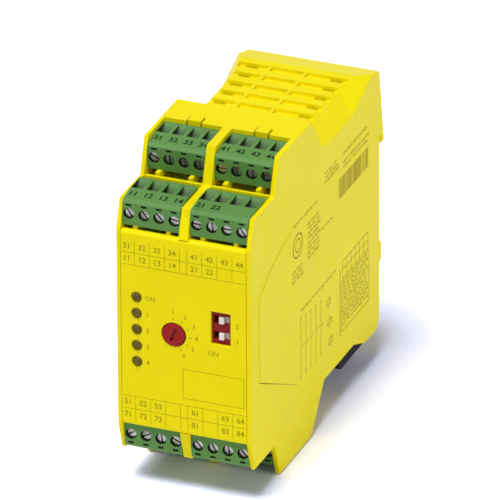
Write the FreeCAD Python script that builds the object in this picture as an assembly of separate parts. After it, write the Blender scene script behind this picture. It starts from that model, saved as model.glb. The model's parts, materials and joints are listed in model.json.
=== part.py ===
"""DIN-rail safety relay, 45 mm wide, with eight pull-off screw terminal plugs.

Axes: +X to the right, +Y back towards the rail, +Z up.  Origin: centre of the rail's front face.
Inside this file, "depth" counts back from the front panel and "height" counts from the mid plane.
"""
import FreeCAD, Part
import math
import os

os.makedirs("parts", exist_ok=True)

# Housing outline
WIDTH = 45.0               # overall width
PANEL_TO_RAIL = 110.5      # front panel face to rail face
RAIL_RISE = 4.7            # rail centre above the housing's mid plane
PANEL_HALF = 33.7          # half height of the front panel
LEDGE_SETBACK = 3.0        # side walls lean back this far beside the front plugs
TIER_FOOT = 19.9           # depth where the walls step up to the rear plugs
TIER_FRONT = 23.8
TIER_BACK = 50.7
TIER_MARGIN = 1.3          # walls rise this far over the upper rear plugs
WAIST_START = 62.0
WAIST_HALF = 40.8          # half height of the plain body behind the terminals
WAIST_TAIL = 15.3          # from the waist's end back to the seam with the rail base
BASE_DEEP = 7.2            # seam to rail face
BASE_RISE = 5.8            # side walls at the seam, above the waist
BACK_FALL = 1.1            # from there down to the top edge at the rail face
SKIRT_TAIL = 5.1           # lower wall corner behind the foot, ahead of the seam
SKIRT_DROP = 4.1           # and below the waist
EDGE_ROUND = 0.7           # rounding of the outer wall edges
WALL = 1.6                 # side walls, floors and roofs
DIVIDER = 3.0              # partition between left and right plugs
RELIEF = 0.3               # step in the side walls at the front, fading out to the back
RELIEF_END = 40.0
RELIEF_PAD = ((7.2, -14.8), (7.2, 13.9), (17.4, 20.1), (RELIEF_END, 24.6), (RELIEF_END, -31.5))
TAB_HALF = 2.1             # spring tabs in the strip over each rear header
TAB_LENGTH = 3.8
TAB_RAISE = 0.4
TAB_SLIT = 0.5

# Vented roof block behind the upper terminals
ROOF_SHOULDER = 5.6        # each flank's width
ROOF_RISE = 8.6            # above the waist
ROOF_TAIL = 17.3           # where its flanks begin to widen, ahead of the seam
ROOF_FALL_TAIL = 6.3       # where it starts to fall towards the rail
LOUVRE_FIRST = 56.2
LOUVRE_COUNT = 6
LOUVRE_GROOVE = 3.4
LOUVRE_LAST_GAP = 3.15     # last groove to the roof's fall
LOUVRE_DEEP = 1.3
RIB_LEFT = -7.9            # two ribs along the depth split each groove
RIB_RIGHT = 3.9
RIB_THICK = 1.1
VENT_MARGIN = 0.7          # air slots at both ends of each groove, from the roof's long edges
VENT_LENGTH = 4.0
VENT_WIDTH = 0.8
FLOOR_VENT_LENGTH = 26.0   # plain slots in the underside
FLOOR_VENT_WIDTH = 2.0
FLOOR_VENT_PITCH = 6.0
FLOOR_VENT_COUNT = 3

# Terminal plugs
POLES = 4
PLUG_PITCHES = 3.82        # plug width in pole pitches
POLE_WEB = 1.1             # plastic between two conductor entries
PLUG_DEEP = 14.6
PLUG_TALL = 9.4
PLUG_BEVEL = 1.0           # between the face and the strip for the pole numbers
LABEL_RISE = 0.8           # slope of that strip
LABEL_END = 6.6            # its back edge
PLUG_CLEAR = 0.15          # plug to housing, each side
ROW_CLEAR = 0.2            # a pulled rear plug passes over the front plug by this much
FRONT_ROW_DEPTH = 1.8      # front faces of the two rows
REAR_ROW_DEPTH = 22.6
UPPER_GAP = 1.2            # daylight under the plugs, above the edge in front of them
LOWER_GAP = 0.3
FLOOR_DROP = 1.7           # floors of the plug bays, below that edge
REAR_LIP = 1.0             # thin wall in front of a rear bay
NOSE_LENGTH = 6.6          # part of a plug that enters its header
NOSE_STEP = 0.95           # from the plug's sides
NOSE_BOTTOM = 0.9
NOSE_TOP = 4.7
FUNNEL_FRONT = 7.0         # from the plug's face to the steep end of a funnel
FUNNEL_BACK = 13.7
TEST_SLOT = (1.9, 0.8, 0.6)  # width, height and depth of the marks over the screws
TEST_SLOT_DROP = 0.8       # below the top of the face
LUG_SPREAD = 1.1           # supporting ribs, in pole pitches from a plug's middle
LUG_WIDTH = 1.4

# Terminal screws and their clamps
SCREW_HEIGHT = 3.8         # screw axis above the plug's seat
SCREW_SHARE = 0.3          # head radius, in pole pitches
SHANK_SHARE = 0.6          # shank radius, in head radii
SCREW_CLEAR = 0.35
SCREW_SINK = 1.0
SCREW_HEAD = 1.9
SLOT_WIDTH = 0.55
SLOT_DEEP = 0.8
SHANK_LENGTH = 5.0
CLAMP_FRONT = 5.6
CLAMP_DEEP = 4.8
CLAMP_TALL = 3.5
CLAMP_WALL = 0.6
CLAMP_CLEAR = 0.15

# Pin headers behind the plugs, soldered to the terminal boards
HEADER_CLEAR = 0.2         # header to plug nose
HEADER_WALL = 0.7
HEADER_BACK = 1.3
PIN = 1.0
PIN_CLEAR = 0.3            # pin to socket, each side
PIN_HEIGHT = 2.8
PIN_REACH = 3.0            # bend of a pin behind its header

# Front panel and its controls
PANEL_THICK = 2.0
PANEL_LIP = 1.2            # rounded top and bottom edge
PANEL_GAP = 0.15
LED_MARGIN = 5.3           # lights to the left side wall
LED_FIRST = 11.4
LED_PITCH = 5.58
LED_COUNT = 5
LED_RADIUS = 1.65
LED_CLEAR = 0.1
LED_PROUD = 0.5
KNOB_X = -3.3
KNOB_Z = 0.6
KNOB_RADIUS = 3.75
KNOB_HOLE_CLEAR = 0.35
KNOB_PROUD = 0.3
KNOB_THICK = 2.8
KNOB_SHAFT = 1.6
KNOB_SLOT = (5.0, 1.0, 0.8)  # length, width and depth
KNOB_SLOT_ANGLE = -68
DIP_MARGIN = 8.6           # slide switch to the right side wall
DIP_Z = 5.3
DIP_WIDTH = 6.2
DIP_TALL = 11.0
DIP_CLEAR = 0.2
DIP_POLES = 2
DIP_PITCH = 5.5
DIP_SINK = 1.0             # switch face behind the panel face
SLIDER_WIDTH = 3.6
SLIDER_TALL = 2.6
SLIDER_TRAVEL = 1.5
SLIDER_SINK = 1.9          # slider plate behind the panel face
SLIDER_END = 3.9
NUB_WIDTH = 1.6            # raised part that a tool pushes
NUB_TALL = 2.2
NUB_OFFSET = 0.4           # from the plate's left end
NUB_SINK = 0.3
SLIDE_CLEAR = 0.05         # running clearance of knob shaft, sliders and screws

# Circuit boards and what they carry
BOARD = 1.6
BOARD_CLEAR = 0.2
FRONT_BOARD_DEPTH = 8.0
TERMINAL_BOARD_DROP = 1.4   # below the cavity's roof
TERMINAL_BOARD_END = 53.0
MAIN_BOARD_TAIL = 11.3      # main boards end ahead of the seam
MAIN_BOARD_OFFSET = 3.0    # main boards stand this far inside the side walls
RELAY = (15.5, 40.0, 13.0)
RELAY_FRONT = 40.0
RELAY_GAP = 8.0
CAPACITOR_RADIUS = 6.3
CAPACITOR_LENGTH = 12.0
CHIP = (1.6, 12.0, 12.0)
CHIP_SPACING = 14.0

# Rail base, hook, foot latch and spring
RAIL_HALF = 17.5           # half of the 35 mm rail
RAIL_SHEET = 1.0
RAIL_PLAY = 0.4
HOOK_GRIP = 2.6            # hook and latch reach this far over the rail's edges
HOOK_BACK = 4.0
LATCH_GRIP = 1.4
EAR_BULGE = 1.9
EAR_TALL = 9.0
BACK_WALL = 2.2
LATCH_HALF_WIDTH = 9.0
LATCH_THICK = 2.4
LATCH_CLEAR = 0.3
LATCH_TRAVEL = 3.2
LATCH_NOSE = 2.6           # latch nose behind the rail face
NOSE_TALL = 3.2
LATCH_TOP = 2.5            # plate height above the latch nose
FOOT_CLEAR = 0.5           # foot to the side walls
FOOT_REACH = 12.0          # foot ahead of the waist's end
FOOT_THICK = 5.4
FOOT_GAP = 0.4
FOOT_SLOT = (7.0, 1.4, 9.0)     # screwdriver slot: width, height, reach behind the foot's front
FOOT_SLOT_DROP = 1.3       # below the foot's top
SPRING_RADIUS = 1.2
SPRING_WIRE = 0.25
SPRING_LENGTH = 11.0
SPRING_TURNS = 5
SPRING_SIDES = 8           # straight pieces to a turn

# Worked out from the sizes above
HALF = WIDTH / 2
INNER = HALF - WALL
BAY_CENTRE = (DIVIDER / 2 + INNER) / 2
BAY_HALF = (INNER - DIVIDER / 2) / 2
PLUG_WIDTH = 2 * (BAY_HALF - PLUG_CLEAR)
POLE_PITCH = PLUG_WIDTH / PLUG_PITCHES
NOSE_WIDTH = PLUG_WIDTH - 2 * NOSE_STEP
FUNNEL_WIDTH = POLE_PITCH - POLE_WEB
CLAMP_WIDTH = FUNNEL_WIDTH - 0.2
SCREW_RADIUS = SCREW_SHARE * POLE_PITCH
SHANK_RADIUS = SHANK_SHARE * SCREW_RADIUS
FACE_TALL = PLUG_TALL - PLUG_BEVEL - LABEL_RISE
LEDGE_HALF = PANEL_HALF + PLUG_TALL + ROW_CLEAR
TIER_HALF = LEDGE_HALF + UPPER_GAP + PLUG_TALL + TIER_MARGIN
CAVITY_HALF = PANEL_HALF - FLOOR_DROP - WALL
TERMINAL_BOARD_HEIGHT = CAVITY_HALF - TERMINAL_BOARD_DROP
SEAT = PLUG_DEEP + HEADER_CLEAR
HEADER_LENGTH = NOSE_LENGTH + HEADER_BACK
HEADER_TALL = NOSE_TOP + HEADER_CLEAR + HEADER_WALL
BASE_FRONT = PANEL_TO_RAIL - BASE_DEEP
WAIST_END = BASE_FRONT - WAIST_TAIL
SKIRT_DEPTH = BASE_FRONT - SKIRT_TAIL
SKIRT_HALF = WAIST_HALF + SKIRT_DROP
BASE_TOP = WAIST_HALF + BASE_RISE
BACK_TOP = BASE_TOP - BACK_FALL
ROOF_HEIGHT = WAIST_HALF + ROOF_RISE
ROOF_HALF_WIDTH = HALF - ROOF_SHOULDER
ROOF_RUN_OUT = BASE_FRONT - ROOF_TAIL
ROOF_FALL = BASE_FRONT - ROOF_FALL_TAIL
LOUVRE_RUN = ROOF_FALL - LOUVRE_LAST_GAP - LOUVRE_GROOVE - LOUVRE_FIRST
LOUVRE_PITCH = LOUVRE_RUN / (LOUVRE_COUNT - 1)
MAIN_BOARD_END = BASE_FRONT - MAIN_BOARD_TAIL
FOOT_HALF_WIDTH = INNER - FOOT_CLEAR
LED_X = LED_MARGIN - INNER
DIP_X = INNER - DIP_MARGIN
RAIL_TOP = RAIL_RISE + RAIL_HALF
RAIL_BOTTOM = RAIL_RISE - RAIL_HALF


# Small building blocks -----------------------------------------------------------------------

def vec(x, depth, height):
    """Point in the part's frame from x, depth behind the panel and height above mid plane."""
    return FreeCAD.Vector(x, depth - PANEL_TO_RAIL, height - RAIL_RISE)


def block(x0, x1, d0, d1, h0, h1):
    """Box between two corners."""
    low = vec(min(x0, x1), min(d0, d1), min(h0, h1))
    return Part.makeBox(abs(x1 - x0), abs(d1 - d0), abs(h1 - h0), low)


def side_prism(outline, x0, x1):
    """Outline of (depth, height) points, extruded from x0 to x1."""
    points = [vec(x0, d, h) for d, h in outline]
    face = Part.Face(Part.makePolygon(points + points[:1]))
    return face.extrude(FreeCAD.Vector(x1 - x0, 0, 0))


def front_prism(outline, d0, d1):
    """Outline of (x, height) points, extruded from depth d0 to d1."""
    points = [vec(x, d0, h) for x, h in outline]
    face = Part.Face(Part.makePolygon(points + points[:1]))
    return face.extrude(FreeCAD.Vector(0, d1 - d0, 0))


def rod(x, height, radius, d0, d1):
    """Cylinder along the depth."""
    return Part.makeCylinder(radius, d1 - d0, vec(x, d0, height), FreeCAD.Vector(0, 1, 0))


def half_space(p0, p1, p2, reach):
    """Thick slab whose face passes through three points, on the side the normal points to."""
    normal = (p1 - p0).cross(p2 - p0).normalize()
    across = (p1 - p0).normalize()
    along = normal.cross(across)
    corners = []
    for u, v in ((-1, -1), (1, -1), (1, 1), (-1, 1)):
        corners.append(p0 + across * (u * reach) + along * (v * reach))
    return Part.Face(Part.makePolygon(corners + corners[:1])).extrude(normal * reach)


def fuse(shapes):
    """One solid from shapes that meet."""
    return shapes[0].multiFuse(shapes[1:]).removeSplitter() if len(shapes) > 1 else shapes[0]


def cut(shape, tools):
    """Shape less every tool."""
    return shape.cut(Part.makeCompound(tools)) if tools else shape


def turned(shape, centre, degrees):
    """Copy turned about the depth axis through a point."""
    copy = shape.copy()
    copy.rotate(centre, FreeCAD.Vector(0, 1, 0), degrees)
    return copy


def pole_offsets():
    """Places of a plug's poles across its width."""
    return [(i - (POLES - 1) / 2) * POLE_PITCH for i in range(POLES)]


def save(name, shape):
    """One STEP file, of one solid or of separate identical ones."""
    shape.exportStep("parts/" + name + ".step")
    print(name, len(shape.Solids), round(shape.Volume, 1), shape.isValid())


# Housing --------------------------------------------------------------------------------------

def terminal_outline(side):
    """Wall outline beside the terminals, from the panel to the waist; side is +1 or -1."""
    return [(0, PANEL_HALF * side),
            (LEDGE_SETBACK, LEDGE_HALF * side),
            (TIER_FOOT, LEDGE_HALF * side),
            (TIER_FRONT, TIER_HALF * side),
            (TIER_BACK, TIER_HALF * side),
            (WAIST_START, WAIST_HALF * side)]


def side_outline():
    """Whole outline of a side wall, up to the base's seam."""
    upper = terminal_outline(1) + [(WAIST_END, WAIST_HALF), (BASE_FRONT, BASE_TOP)]
    lower = terminal_outline(-1) + [(WAIST_END, -WAIST_HALF), (SKIRT_DEPTH, -SKIRT_HALF),
                                    (BASE_FRONT, -SKIRT_HALF)]
    return upper + lower[::-1]


def rounded_slab(outline):
    """Full-width body with rounded edges where the side faces meet the outline."""
    body = side_prism(outline, -HALF, HALF)
    edges = []
    for edge in body.Edges:
        ends = [vertex.Point.x for vertex in edge.Vertexes]
        at_seam = all(abs(v.Point.y - (BASE_FRONT - PANEL_TO_RAIL)) < 0.01 for v in edge.Vertexes)
        if abs(ends[0] - ends[-1]) < 0.01 and not at_seam:
            edges.append(edge)
    return body.makeFillet(EDGE_ROUND, edges)


def tier_seats():
    """Depth of the plug faces, depth of the header backs and height of the edge in front."""
    rows = []
    for depth, edge in ((FRONT_ROW_DEPTH, PANEL_HALF), (REAR_ROW_DEPTH, LEDGE_HALF)):
        rows.append((depth, depth + SEAT + HEADER_LENGTH, edge))
    return rows


def seat_level(row, side):
    """Height of the underside of a plug, on the upper or lower side."""
    return tier_seats()[row][2] + row_gap(side)


def bays(side):
    """Space that the plugs and headers of one side need, left and right of the divider."""
    (_, front_end, front_edge), (rear_face, rear_end, rear_edge) = tier_seats()
    front_floor = front_edge - FLOOR_DROP
    rear_floor = rear_edge - FLOOR_DROP
    sky = TIER_HALF + WALL
    lip_back = TIER_FOOT + REAR_LIP
    rear_seat = rear_face + SEAT
    tools = []
    for centre in (-BAY_CENTRE, BAY_CENTRE):
        x0 = centre - BAY_HALF
        x1 = centre + BAY_HALF
        spaces = [(-WALL, PANEL_THICK, front_edge, sky),
                  (PANEL_THICK, TIER_FOOT, front_floor, sky),
                  (TIER_FOOT, front_end, front_floor, seat_level(0, side) + HEADER_TALL),
                  (TIER_FOOT, lip_back, rear_edge, sky),
                  (lip_back, rear_seat, rear_floor, sky),
                  (rear_seat, rear_end, rear_floor, TIER_HALF - WALL)]
        for d0, d1, h0, h1 in spaces:
            tools.append(block(x0, x1, d0, d1, h0 * side, h1 * side))
        for row, end in enumerate((front_end, rear_end)):
            level = seat_level(row, side) + PIN_HEIGHT
            tools.append(block(centre - NOSE_WIDTH / 2, centre + NOSE_WIDTH / 2, end, end + WALL,
                               (level - PIN) * side, (level + PIN) * side))
    return tools


def row_gap(side):
    """Daylight under the plugs of the upper or lower side."""
    return UPPER_GAP if side > 0 else LOWER_GAP


def cavity():
    """Hollow for the boards, following the outer walls."""
    (_, front_end, _), (_, rear_end, rear_edge) = tier_seats()
    shelf = rear_edge - FLOOR_DROP - WALL
    slope = (WAIST_START - TIER_BACK) / (TIER_HALF - WAIST_HALF)
    upper = [(-WALL, CAVITY_HALF),
             (front_end + WALL, CAVITY_HALF),
             (front_end + WALL, shelf),
             (rear_end + WALL, shelf),
             (rear_end + WALL, TIER_HALF - WALL),
             (TIER_BACK - WALL, TIER_HALF - WALL),
             (TIER_BACK - WALL + slope * (TIER_HALF - WAIST_HALF), WAIST_HALF - WALL),
             (BASE_FRONT + WALL, WAIST_HALF - WALL)]
    lower = [(d, -h) for d, h in upper]
    return side_prism(upper + lower[::-1], -INNER, INNER)


def roof_block():
    """Raised vented block behind the upper terminals, with flanks that widen at the back."""
    fall = (ROOF_HEIGHT - BACK_TOP) / (PANEL_TO_RAIL - ROOF_FALL)
    rear = ROOF_HEIGHT - fall * (BASE_FRONT - ROOF_FALL)
    start = TIER_BACK + WALL
    outline = [(start, WAIST_HALF - WALL), (start, ROOF_HEIGHT), (ROOF_FALL, ROOF_HEIGHT),
               (BASE_FRONT, rear), (BASE_FRONT, WAIST_HALF - WALL)]
    roof = side_prism(outline, -HALF, HALF)
    high = TIER_HALF
    tools = []
    for side in (-1, 1):
        flank = [(HALF * side, WAIST_HALF), (ROOF_HALF_WIDTH * side, ROOF_HEIGHT),
                 (ROOF_HALF_WIDTH * side, high), (HALF * side, high)]
        tools.append(front_prism(flank, start, ROOF_RUN_OUT))
        low_corner = vec(HALF * side, ROOF_RUN_OUT, WAIST_HALF)
        high_corner = vec(ROOF_HALF_WIDTH * side, ROOF_RUN_OUT, ROOF_HEIGHT)
        apex = vec(HALF * side, BASE_FRONT, rear)
        order = (low_corner, apex, high_corner) if side > 0 else (low_corner, high_corner, apex)
        zone = block(0, (HALF + WALL) * side, ROOF_RUN_OUT, BASE_FRONT, WAIST_HALF - WALL, high)
        tools.append(half_space(*order, WIDTH).common(zone))
    return cut(roof, tools)


def louvres():
    """Grooves across the roof, split by two ribs, with air slots at their ends and by one rib."""
    outside = ROOF_HALF_WIDTH + LOUVRE_DEEP
    vent_start = ROOF_HALF_WIDTH - VENT_MARGIN
    half_rib = RIB_THICK / 2
    below = ROOF_HEIGHT - LOUVRE_DEEP - 2 * WALL
    spans = [(-outside, RIB_LEFT - half_rib), (RIB_LEFT + half_rib, RIB_RIGHT - half_rib),
             (RIB_RIGHT + half_rib, outside)]
    tools = []
    for row in range(LOUVRE_COUNT):
        depth = LOUVRE_FIRST + row * LOUVRE_PITCH
        back = depth + LOUVRE_GROOVE
        for x0, x1 in spans:
            tools.append(block(x0, x1, depth, back, ROOF_HEIGHT - LOUVRE_DEEP, ROOF_HEIGHT + WALL))
        for side in (-1, 1):
            tools.append(block(vent_start * side, (vent_start - VENT_LENGTH) * side,
                               back - VENT_WIDTH, back, below, ROOF_HEIGHT))
        slot = RIB_RIGHT - half_rib
        tools.append(block(slot - VENT_WIDTH, slot, depth, back, below, ROOF_HEIGHT))
    return tools


def roof_cavity():
    """Hollow under the louvres."""
    half = ROOF_HALF_WIDTH - WALL - LOUVRE_DEEP
    ceiling = ROOF_HEIGHT - LOUVRE_DEEP - WALL
    return block(-half, half, WAIST_START, ROOF_RUN_OUT + WALL, WAIST_HALF - 2 * WALL, ceiling)


def floor_vents():
    """Slots in the underside below the louvres."""
    tools = []
    for i in range(FLOOR_VENT_COUNT):
        depth = WAIST_START + WALL + i * FLOOR_VENT_PITCH
        tools.append(block(-FLOOR_VENT_LENGTH / 2, FLOOR_VENT_LENGTH / 2, depth,
                           depth + FLOOR_VENT_WIDTH, -WAIST_HALF - WALL, -WAIST_HALF + 2 * WALL))
    return tools


def tab_slits(side):
    """Slits beside the spring tabs in the strip over each rear header."""
    face = REAR_ROW_DEPTH + SEAT
    tools = []
    for centre in (-BAY_CENTRE, BAY_CENTRE):
        for edge in (-1, 1):
            x = centre + edge * (TAB_HALF + TAB_SLIT / 2)
            tools.append(block(x - TAB_SLIT / 2, x + TAB_SLIT / 2, face, face + TAB_LENGTH,
                               (TIER_HALF - 2 * WALL) * side, (TIER_HALF + WALL) * side))
    return tools


def tab_pads(side):
    """Raised tops of the spring tabs."""
    face = REAR_ROW_DEPTH + SEAT
    pads = []
    for centre in (-BAY_CENTRE, BAY_CENTRE):
        pads.append(block(centre - TAB_HALF, centre + TAB_HALF, face, face + TAB_LENGTH,
                          (TIER_HALF - WALL / 2) * side, (TIER_HALF + TAB_RAISE) * side))
    return pads


def relief(side):
    """Shallow step in the front of a side wall, round a pad with a curved upper edge."""
    outer = HALF * side
    beyond = (HALF + WALL) * side
    high = TIER_HALF + WALL
    corners = [vec(outer - RELIEF * side, 0, -high), vec(outer, RELIEF_END, -high),
               vec(beyond, RELIEF_END, -high), vec(beyond, 0, -high)]
    wedge = Part.Face(Part.makePolygon(corners + corners[:1]))
    wedge = wedge.extrude(FreeCAD.Vector(0, 0, 2 * high))
    low_front, high_front, bend, high_back, low_back = [vec(outer - WALL * side, d, h)
                                                        for d, h in RELIEF_PAD]
    outline = [Part.makeLine(low_front, high_front),
               Part.Arc(high_front, bend, high_back).toShape(),
               Part.makeLine(high_back, low_back), Part.makeLine(low_back, low_front)]
    pad = Part.Face(Part.Wire(outline)).extrude(FreeCAD.Vector(3 * WALL * side, 0, 0))
    return wedge.cut(pad)


def lugs(side):
    """Ribs on the floors that carry the plugs, one pair to each plug."""
    starts = (PANEL_THICK + PANEL_GAP, TIER_FOOT + REAR_LIP / 2)
    ribs = []
    for row, start in enumerate(starts):
        depth, _, edge = tier_seats()[row]
        for centre in (-BAY_CENTRE, BAY_CENTRE):
            for offset in (-1, 1):
                x = centre + offset * LUG_SPREAD * POLE_PITCH
                ribs.append(block(x - LUG_WIDTH / 2, x + LUG_WIDTH / 2, start,
                                  depth + PLUG_DEEP, (edge - FLOOR_DROP - WALL / 2) * side,
                                  seat_level(row, side) * side))
    return ribs


def panel_opening():
    """Recess for the front panel between the side walls."""
    return block(-INNER, INNER, -WALL, PANEL_THICK, -PANEL_HALF, PANEL_HALF)


def foot_recess():
    """Space under the waist where the foot latch slides, open at the back."""
    return block(-INNER, INNER, WAIST_END, BASE_FRONT + WALL, -WAIST_HALF, -SKIRT_HALF - WALL)


def housing_shell():
    body = rounded_slab(side_outline()).fuse(roof_block()).removeSplitter()
    tools = [cavity(), roof_cavity(), panel_opening(), foot_recess()]
    for side in (-1, 1):
        tools += bays(side) + tab_slits(side) + [relief(side)]
    tools += louvres() + floor_vents()
    body = cut(body, tools)
    return fuse([body] + lugs(1) + lugs(-1) + tab_pads(1) + tab_pads(-1))


# Rail base ------------------------------------------------------------------------------------

def latch_window_top():
    """Height of the rail seat's lower end, where the latch nose comes through."""
    return RAIL_BOTTOM - RAIL_PLAY


def base_outline():
    """Side outline of the base with hook, rail seat and lower ears."""
    fall = (ROOF_HEIGHT - BACK_TOP) / (PANEL_TO_RAIL - ROOF_FALL)
    seam_top = ROOF_HEIGHT - fall * (BASE_FRONT - ROOF_FALL)
    hook_low = RAIL_TOP - HOOK_GRIP
    groove_back = PANEL_TO_RAIL + RAIL_SHEET + RAIL_PLAY
    ear_top = latch_window_top() - RAIL_PLAY
    return [(BASE_FRONT, seam_top), (PANEL_TO_RAIL, BACK_TOP),
            (PANEL_TO_RAIL + HOOK_BACK, hook_low), (groove_back, hook_low),
            (groove_back, RAIL_TOP + RAIL_PLAY), (PANEL_TO_RAIL, RAIL_TOP + RAIL_PLAY),
            (PANEL_TO_RAIL, ear_top), (PANEL_TO_RAIL + EAR_BULGE, ear_top - EAR_BULGE),
            (PANEL_TO_RAIL + EAR_BULGE, ear_top - EAR_TALL + EAR_BULGE),
            (PANEL_TO_RAIL, ear_top - EAR_TALL), (PANEL_TO_RAIL, -WAIST_HALF),
            (PANEL_TO_RAIL - BACK_WALL, -SKIRT_HALF), (BASE_FRONT, -SKIRT_HALF)]


def rail_base():
    body = rounded_slab(base_outline())
    back = PANEL_TO_RAIL - BACK_WALL
    slot_half = LATCH_HALF_WIDTH + LATCH_CLEAR
    room = block(-INNER, INNER, BASE_FRONT - WALL, back, WALL - WAIST_HALF, WAIST_HALF - WALL)
    window = block(-slot_half, slot_half, back - WALL, PANEL_TO_RAIL + HOOK_BACK,
                   latch_window_top() - NOSE_TALL - LATCH_TRAVEL - LATCH_CLEAR, latch_window_top())
    under = block(-INNER, INNER, BASE_FRONT - WALL, back, -WAIST_HALF, -SKIRT_HALF - WALL)
    channel = block(-slot_half, slot_half, latch_plate_front() - LATCH_CLEAR, back,
                    -WAIST_HALF - WALL, WALL - WAIST_HALF + WALL)
    peg = block(-SPRING_RADIUS, SPRING_RADIUS, spring_depth() - SPRING_RADIUS, back + WALL,
                spring_top(), spring_top() + 2 * WALL)
    body = cut(body, [room, window, under, channel])
    return fuse([body, peg])


def latch_plate_front():
    return PANEL_TO_RAIL - BACK_WALL - LATCH_CLEAR - LATCH_THICK


def spring_depth():
    return latch_plate_front() + LATCH_THICK / 2


def spring_bottom():
    return RAIL_BOTTOM + LATCH_GRIP + LATCH_TOP


def spring_top():
    return spring_bottom() + SPRING_LENGTH


def foot_latch():
    """Sliding plate with the nose behind the rail's lower edge and the wide foot below."""
    front = latch_plate_front()
    back = front + LATCH_THICK
    nose_top = RAIL_BOTTOM + LATCH_GRIP
    shelf = latch_window_top()
    nose_front = PANEL_TO_RAIL + RAIL_SHEET + RAIL_PLAY / 2
    nose_back = PANEL_TO_RAIL + LATCH_NOSE
    foot_top = -WAIST_HALF - FOOT_GAP
    foot_front = WAIST_END - FOOT_REACH
    foot_end = PANEL_TO_RAIL - BACK_WALL - LATCH_CLEAR
    plate = block(-LATCH_HALF_WIDTH, LATCH_HALF_WIDTH, front, back, foot_top, spring_bottom())
    nose = side_prism([(back, shelf), (nose_front, shelf), (nose_front, nose_top),
                       (nose_back, shelf), (nose_back, shelf - NOSE_TALL),
                       (back, shelf - NOSE_TALL)], -LATCH_HALF_WIDTH, LATCH_HALF_WIDTH)
    foot = side_prism([(foot_front, foot_top), (foot_end, foot_top),
                       (foot_end, foot_top - FOOT_THICK),
                       (foot_front + FOOT_THICK, foot_top - FOOT_THICK)],
                      -FOOT_HALF_WIDTH, FOOT_HALF_WIDTH)
    slot_wide, slot_tall, slot_deep = FOOT_SLOT
    slot_top = foot_top - FOOT_SLOT_DROP
    slot = block(-slot_wide / 2, slot_wide / 2, foot_front - WALL, foot_front + slot_deep,
                 slot_top - slot_tall, slot_top)
    return fuse([plate, nose, cut(foot, [slot])])


def latch_spring():
    """Tension spring of square wire between the latch plate and the peg in the base."""
    radius = SPRING_RADIUS - SPRING_WIRE
    rise = SPRING_LENGTH - 2 * SPRING_WIRE
    count = SPRING_TURNS * SPRING_SIDES
    points = []
    for i in range(count + 1):
        angle = 2 * math.pi * i / SPRING_SIDES
        points.append(vec(radius * math.cos(angle), spring_depth() + radius * math.sin(angle),
                          spring_bottom() + SPRING_WIRE + rise * i / count))
    start = points[0]
    corners = []
    for across, up in ((-1, -1), (1, -1), (1, 1), (-1, 1)):
        corners.append(start + FreeCAD.Vector(across * SPRING_WIRE, 0, up * SPRING_WIRE))
    path = Part.BRepOffsetAPI.MakePipeShell(Part.makePolygon(points))
    path.setTransitionMode(1)
    path.add(Part.makePolygon(corners + corners[:1]))
    path.build()
    path.makeSolid()
    return path.shape()


# Terminal plugs -------------------------------------------------------------------------------

def plug_body():
    """Plug at the origin of its own seat: x from its middle, depth from its face, height up."""
    outline = [(0, 0), (0, FACE_TALL), (PLUG_BEVEL, FACE_TALL + PLUG_BEVEL),
               (LABEL_END, PLUG_TALL), (PLUG_DEEP, PLUG_TALL), (PLUG_DEEP, 0)]
    body = side_prism(outline, -PLUG_WIDTH / 2, PLUG_WIDTH / 2)
    nose = block(-NOSE_WIDTH / 2, NOSE_WIDTH / 2, PLUG_DEEP - WALL, PLUG_DEEP + NOSE_LENGTH,
                 NOSE_BOTTOM, NOSE_TOP)
    tools = []
    for x in pole_offsets():
        tools += [funnel(x), screw_hole(x), clamp_room(x), pin_socket(x), test_slot(x)]
    return cut(fuse([body, nose]), tools)


def funnel(x):
    """Wedge-shaped conductor entry in the top of a plug."""
    floor = clamp_top() + CLAMP_CLEAR
    outline = [(FUNNEL_FRONT, PLUG_TALL + WALL), (FUNNEL_FRONT, floor),
               (FUNNEL_FRONT + CLAMP_DEEP / 2, floor), (FUNNEL_BACK, PLUG_TALL),
               (FUNNEL_BACK, PLUG_TALL + WALL)]
    return side_prism(outline, x - FUNNEL_WIDTH / 2, x + FUNNEL_WIDTH / 2)


def screw_hole(x):
    return rod(x, SCREW_HEIGHT, SCREW_RADIUS + SCREW_CLEAR, -WALL, CLAMP_FRONT)


def clamp_top():
    return SCREW_HEIGHT + CLAMP_TALL / 2


def clamp_room(x):
    """Pocket round the clamp, open to the funnel above it."""
    half = CLAMP_WIDTH / 2 + CLAMP_CLEAR
    low = SCREW_HEIGHT - CLAMP_TALL / 2 - CLAMP_CLEAR
    return block(x - half, x + half, CLAMP_FRONT - CLAMP_CLEAR,
                 CLAMP_FRONT + CLAMP_DEEP + CLAMP_CLEAR, low, clamp_top() + CLAMP_CLEAR)


def pin_socket(x):
    half = PIN / 2 + PIN_CLEAR
    return block(x - half, x + half, CLAMP_FRONT + CLAMP_DEEP, PLUG_DEEP + NOSE_LENGTH,
                 PIN_HEIGHT - half, PIN_HEIGHT + half)


def test_slot(x):
    wide, tall, deep = TEST_SLOT
    middle = FACE_TALL - TEST_SLOT_DROP
    return block(x - wide / 2, x + wide / 2, -deep, deep, middle - tall / 2, middle + tall / 2)


def terminal_screw(x, angle):
    """Slotted screw whose shank reaches into the clamp; angle turns its slot."""
    head_end = SCREW_SINK + SCREW_HEAD
    head = rod(x, SCREW_HEIGHT, SCREW_RADIUS, SCREW_SINK, head_end)
    shank = rod(x, SCREW_HEIGHT, SHANK_RADIUS, head_end, head_end + SHANK_LENGTH)
    slot = block(x - SCREW_RADIUS, x + SCREW_RADIUS, SCREW_SINK - SLOT_DEEP,
                 SCREW_SINK + SLOT_DEEP, SCREW_HEIGHT - SLOT_WIDTH / 2,
                 SCREW_HEIGHT + SLOT_WIDTH / 2)
    return fuse([head.cut(turned(slot, vec(x, 0, SCREW_HEIGHT), angle)), shank])


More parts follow.
